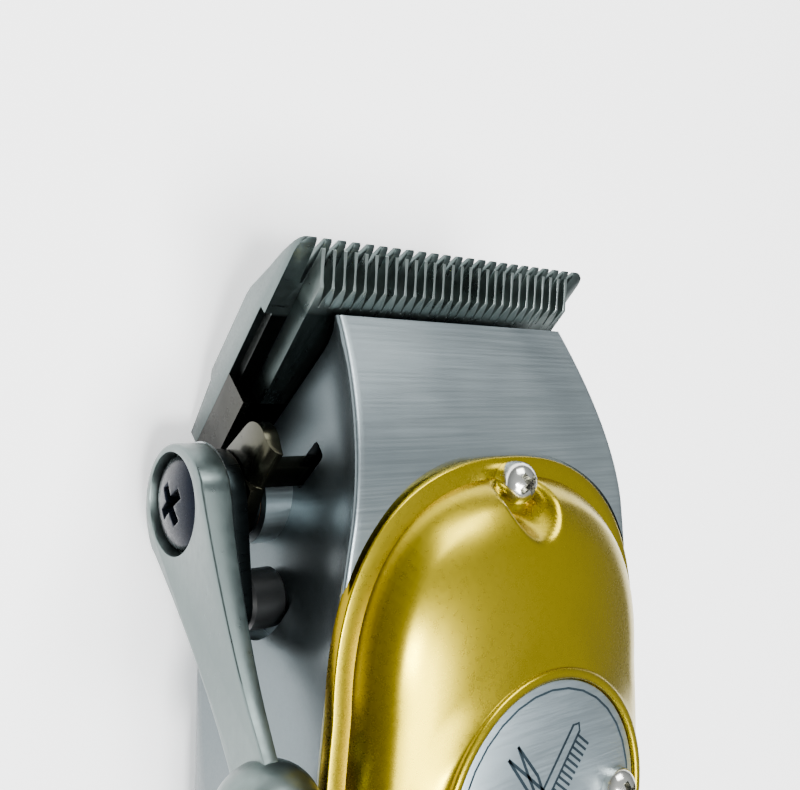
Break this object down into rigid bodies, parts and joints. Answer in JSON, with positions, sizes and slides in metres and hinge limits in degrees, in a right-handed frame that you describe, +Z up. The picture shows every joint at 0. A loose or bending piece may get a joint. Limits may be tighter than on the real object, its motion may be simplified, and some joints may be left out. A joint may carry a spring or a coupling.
{
  "type": "hair clipper",
  "caption": "Hair clipper with a cast aluminium body, gold domed cover, round badge, toothed blade set and a side taper lever with a ball end.",
  "frame": {"origin": "middle of the flat underside that the clipper rests on", "axes": "+Y along the body towards the blade, +Z up towards the gold cover, taper lever on the -X side"},
  "size_m": [0.0621, 0.1651, 0.047],
  "materials": {
    "cast_aluminium": "brushed",
    "gold_anodised": "satin anodised",
    "badge_steel": "satin",
    "nickel_screw": "bright nickel",
    "blade_steel": "ground",
    "cutter_steel": "ground",
    "nickel_plate": "bright nickel plate",
    "lever_aluminium": "satin",
    "dark_steel": "blackened",
    "black_nylon": "moulded",
    "dark_screw": "blackened",
    "spring_steel": "bright",
    "arm_steel": "zinc plated",
    "lamination_steel": "varnished",
    "bronze": "sintered",
    "brass": "turned",
    "white_nylon": "moulded",
    "copper_winding": "enamelled wire",
    "wire_insulation": "PVC",
    "gland_rubber": "moulded"
  },
  "bodies": {
    "body": {"housing": "cast_aluminium", "top_cover": "gold_anodised", "badge_plate": "badge_steel", "cover_screws": "nickel_screw", "badge_screws": "nickel_screw", "pivot_bush": "bronze", "friction_plate": "dark_steel", "standoff_bush": "black_nylon", "plate_screw": "dark_screw", "arm_pivot_pin": "arm_steel", "stator_core": "lamination_steel", "coil_bobbin": "white_nylon", "coil_winding": "copper_winding", "core_screws": "nickel_screw", "return_springs": "spring_steel", "power_bush": "brass", "switch_body": "black_nylon", "terminal_block": "white_nylon", "lead_wires": "wire_insulation", "cord_gland": "gland_rubber"},
    "lever": {"taper_lever": "lever_aluminium", "lever_screw": "dark_screw", "spring_washer": "spring_steel", "cam_shaft": "arm_steel"},
    "carriage": {"blade_carriage": "nickel_plate", "fixed_blade": "blade_steel", "blade_screws": "dark_screw", "carriage_screws": "nickel_screw", "link_arm": "nickel_plate"},
    "arm": {"drive_arm": "arm_steel", "drive_cap": "white_nylon", "armature_block": "lamination_steel", "armature_screws": "nickel_screw", "tension_spring": "spring_steel", "tension_screw": "nickel_screw"},
    "cutter": {"cutter_blade": "cutter_steel"},
    "power": {"power_screw": "nickel_screw"},
    "switch": {"switch_slider": "black_nylon"}
  },
  "joints": [
    {"name": "taper_hinge", "type": "hinge", "parent": "body", "child": "lever", "pos_m": [-0.0283, 0.07, 0.0155], "axis": [1, 0, 0], "range_deg": [0, 42.05]},
    {"name": "taper_slide", "type": "slide", "parent": "body", "child": "carriage", "axis": [0, 0.7314, 0.682], "range_m": [0, 0.0018]},
    {"name": "arm_hinge", "type": "hinge", "parent": "body", "child": "arm", "pos_m": [-0.007, -0.012, 0.017], "axis": [0, 0, 1], "range_deg": [-0.74, 0.74], "stiffness_Nm_per_rad": 2},
    {"name": "cutter_slide", "type": "slide", "parent": "body", "child": "cutter", "axis": [1, 0, 0], "range_m": [-0.00131, 0.00131]},
    {"name": "power_turn", "type": "hinge", "parent": "body", "child": "power", "pos_m": [0.02, -0.004, 0.017], "axis": [1, 0, 0], "range_deg": [-180, 180]},
    {"name": "switch_slide", "type": "slide", "parent": "body", "child": "switch", "axis": [0, 1, 0], "range_m": [0, 0.005]}
  ],
  "couplings": [
    {"joint": "taper_hinge", "follows": "taper_slide", "rad_per_m": 407.24},
    {"joint": "cutter_slide", "follows": "arm_hinge", "m_per_rad": -0.10001}
  ]
}
